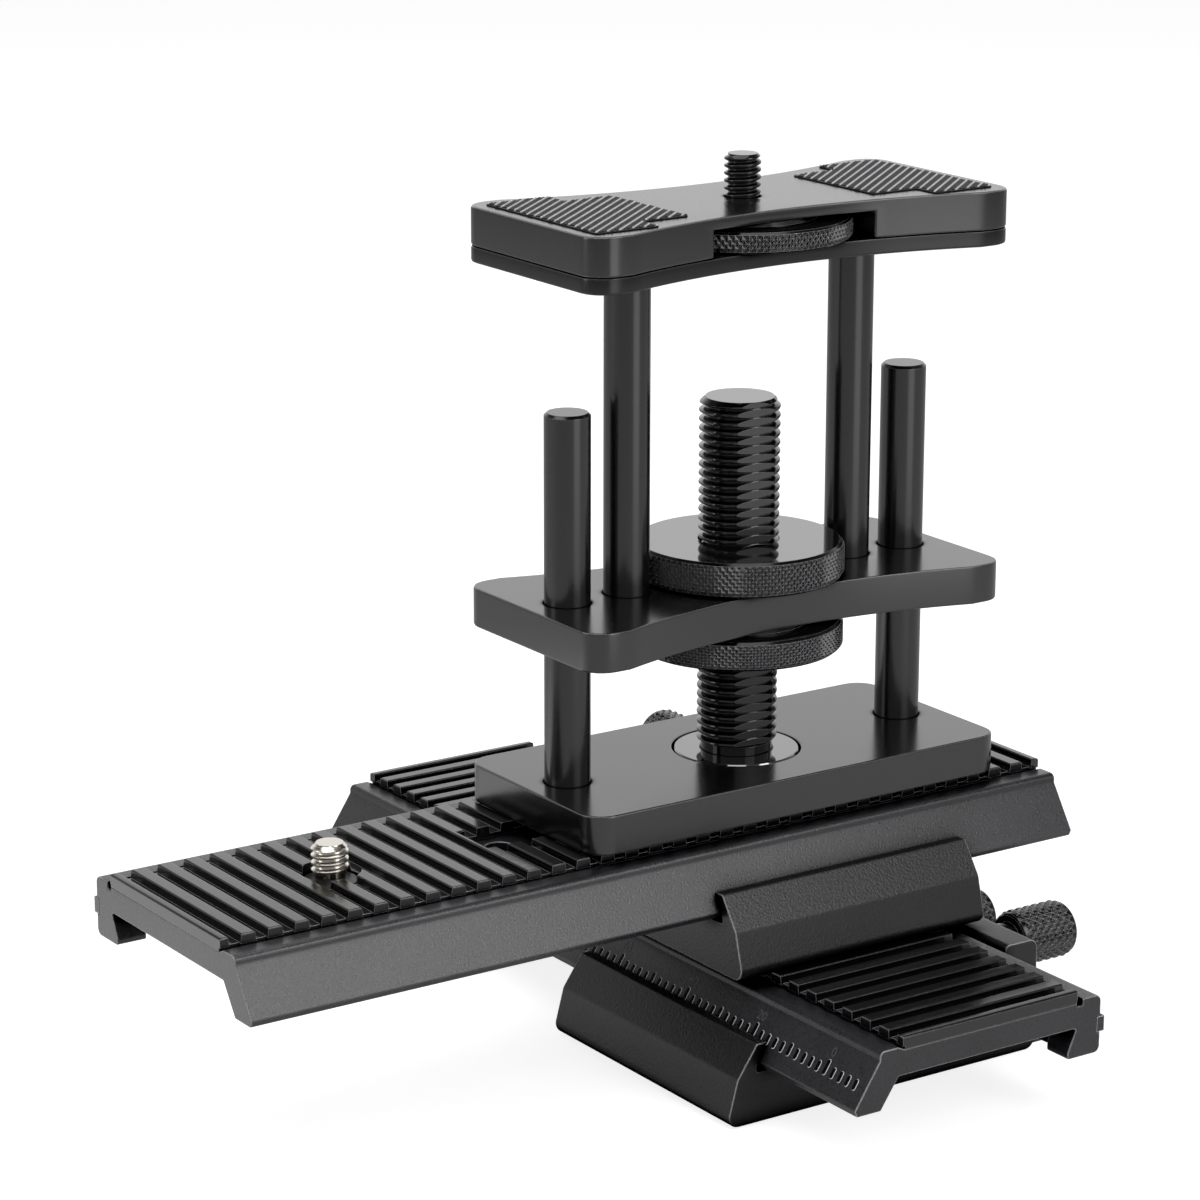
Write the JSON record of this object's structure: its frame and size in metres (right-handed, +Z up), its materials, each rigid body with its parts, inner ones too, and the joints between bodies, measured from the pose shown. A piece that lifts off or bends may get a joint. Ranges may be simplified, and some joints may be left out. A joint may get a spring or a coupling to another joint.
{
  "type": "macro focusing rail",
  "caption": "Cross slide with rack and pinion drives, ribbed rubber pads and a screw riser with a camera stud, for fine positioning of a camera or subject",
  "frame": {"origin": "centre of the tripod socket in the underside of the lower carriage", "axes": "+X along the upper rail and the riser plates, +Y along the lower rail from front to back, +Z up from the tripod towards the camera screw"},
  "size_m": [0.1728, 0.1686, 0.1566],
  "materials": {
    "black_anodised": "black anodised aluminium, smooth milled faces with a satin sheen",
    "blasted_anodised": "black anodised extrusion, bead blasted to a fine grain",
    "knurled_black": "black anodised, diamond knurled rims",
    "gloss_black": "black anodised screw thread, glossy",
    "satin_rod": "black anodised ground rod, satin",
    "black_steel": "blackened steel",
    "bright_steel": "bright plated steel",
    "dark_bronze": "dark oiled bronze",
    "ribbed_rubber": "black moulded rubber, matte",
    "grip_mesh": "black rubber with a fine slanted mesh"
  },
  "bodies": {
    "base": {"lower_carriage": "black_anodised", "lower_bush": "dark_bronze"},
    "lower_lock": {"lower_lock_screw": "black_steel", "lower_lock_knob": "knurled_black"},
    "lower_drive": {"lower_pinion": "bright_steel", "lower_drive_knob": "knurled_black"},
    "lower_slider": {"lower_rail": "blasted_anodised", "lower_rack": "black_steel", "lower_brake_strip": "black_steel", "lower_pad": "ribbed_rubber", "coupling_screw": "bright_steel", "upper_carriage": "black_anodised", "upper_bush": "dark_bronze"},
    "upper_lock": {"upper_lock_screw": "black_steel", "upper_lock_knob": "knurled_black"},
    "upper_drive": {"upper_pinion": "bright_steel", "upper_drive_knob": "knurled_black"},
    "upper_slider": {"upper_rail": "blasted_anodised", "upper_rack": "black_steel", "upper_brake_strip": "black_steel", "upper_pad": "ribbed_rubber", "riser_screw": "bright_steel", "riser_base": "black_anodised", "rod_screws": "black_steel", "screw_flange": "black_anodised", "lead_screw": "gloss_black", "guide_rod_left": "satin_rod", "guide_rod_right": "satin_rod"},
    "rail_stud": {"rail_camera_screw": "bright_steel", "screw_clip": "black_steel"},
    "head": {"lift_plate": "black_anodised", "post_foot_screws": "black_steel", "post_left": "satin_rod", "post_right": "satin_rod", "bridge_plate": "black_anodised", "head_plate": "black_anodised", "head_plate_screws": "black_steel", "grip_pad_left": "grip_mesh", "grip_pad_right": "grip_mesh"},
    "nut_below": {"lower_nut": "knurled_black"},
    "nut_above": {"upper_nut": "knurled_black"},
    "head_wheel": {"thumbwheel": "knurled_black", "head_camera_screw": "gloss_black"}
  },
  "joints": [
    {"name": "lower_slide", "type": "slide", "parent": "base", "child": "lower_slider", "axis": [0, 1, 0], "range_m": [-0.0814, 0.0186]},
    {"name": "lower_drive_turn", "type": "hinge", "parent": "base", "child": "lower_drive", "pos_m": [0.03, 0.0169, 0.0074], "axis": [1, 0, 0], "range_deg": [-345, 1490]},
    {"name": "lower_lock_turn", "type": "hinge", "parent": "base", "child": "lower_lock", "pos_m": [0.03, -0.0142, 0.0157], "axis": [1, 0, 0], "range_deg": [0, 540]},
    {"name": "upper_slide", "type": "slide", "parent": "lower_slider", "child": "upper_slider", "axis": [1, 0, 0], "range_m": [-0.0169, 0.0831]},
    {"name": "upper_drive_turn", "type": "hinge", "parent": "lower_slider", "child": "upper_drive", "pos_m": [-0.0169, 0.046, 0.0294], "axis": [0, 1, 0], "range_deg": [-320, 1520]},
    {"name": "upper_lock_turn", "type": "hinge", "parent": "lower_slider", "child": "upper_lock", "pos_m": [0.0142, 0.046, 0.0377], "axis": [0, 1, 0], "range_deg": [0, 540]},
    {"name": "rail_stud_turn", "type": "hinge", "parent": "upper_slider", "child": "rail_stud", "pos_m": [-0.0862, 0.01575, 0.044], "axis": [0, 0, 1], "continuous": true},
    {"name": "head_lift", "type": "slide", "parent": "upper_slider", "child": "head", "axis": [0, 0, 1], "range_m": [-0.0189, 0.0251]},
    {"name": "lower_nut_turn", "type": "hinge", "parent": "head", "child": "nut_below", "pos_m": [-0.00285, 0.01575, 0.073], "axis": [0, 0, 1], "range_deg": [-4256, 5652]},
    {"name": "upper_nut_turn", "type": "hinge", "parent": "head", "child": "nut_above", "pos_m": [-0.00285, 0.01575, 0.086], "axis": [0, 0, 1], "range_deg": [-4256, 5652]},
    {"name": "head_wheel_turn", "type": "hinge", "parent": "head", "child": "head_wheel", "pos_m": [-0.00285, 0.01575, 0.145], "axis": [0, 0, 1], "continuous": true}
  ],
  "couplings": [
    {"joint": "lower_drive_turn", "follows": "lower_slide", "rad_per_m": -317.46},
    {"joint": "upper_drive_turn", "follows": "upper_slide", "rad_per_m": 317.46},
    {"joint": "upper_nut_turn", "follows": "head_lift", "rad_per_m": 3927},
    {"joint": "lower_nut_turn", "follows": "head_lift", "rad_per_m": 3927}
  ]
}
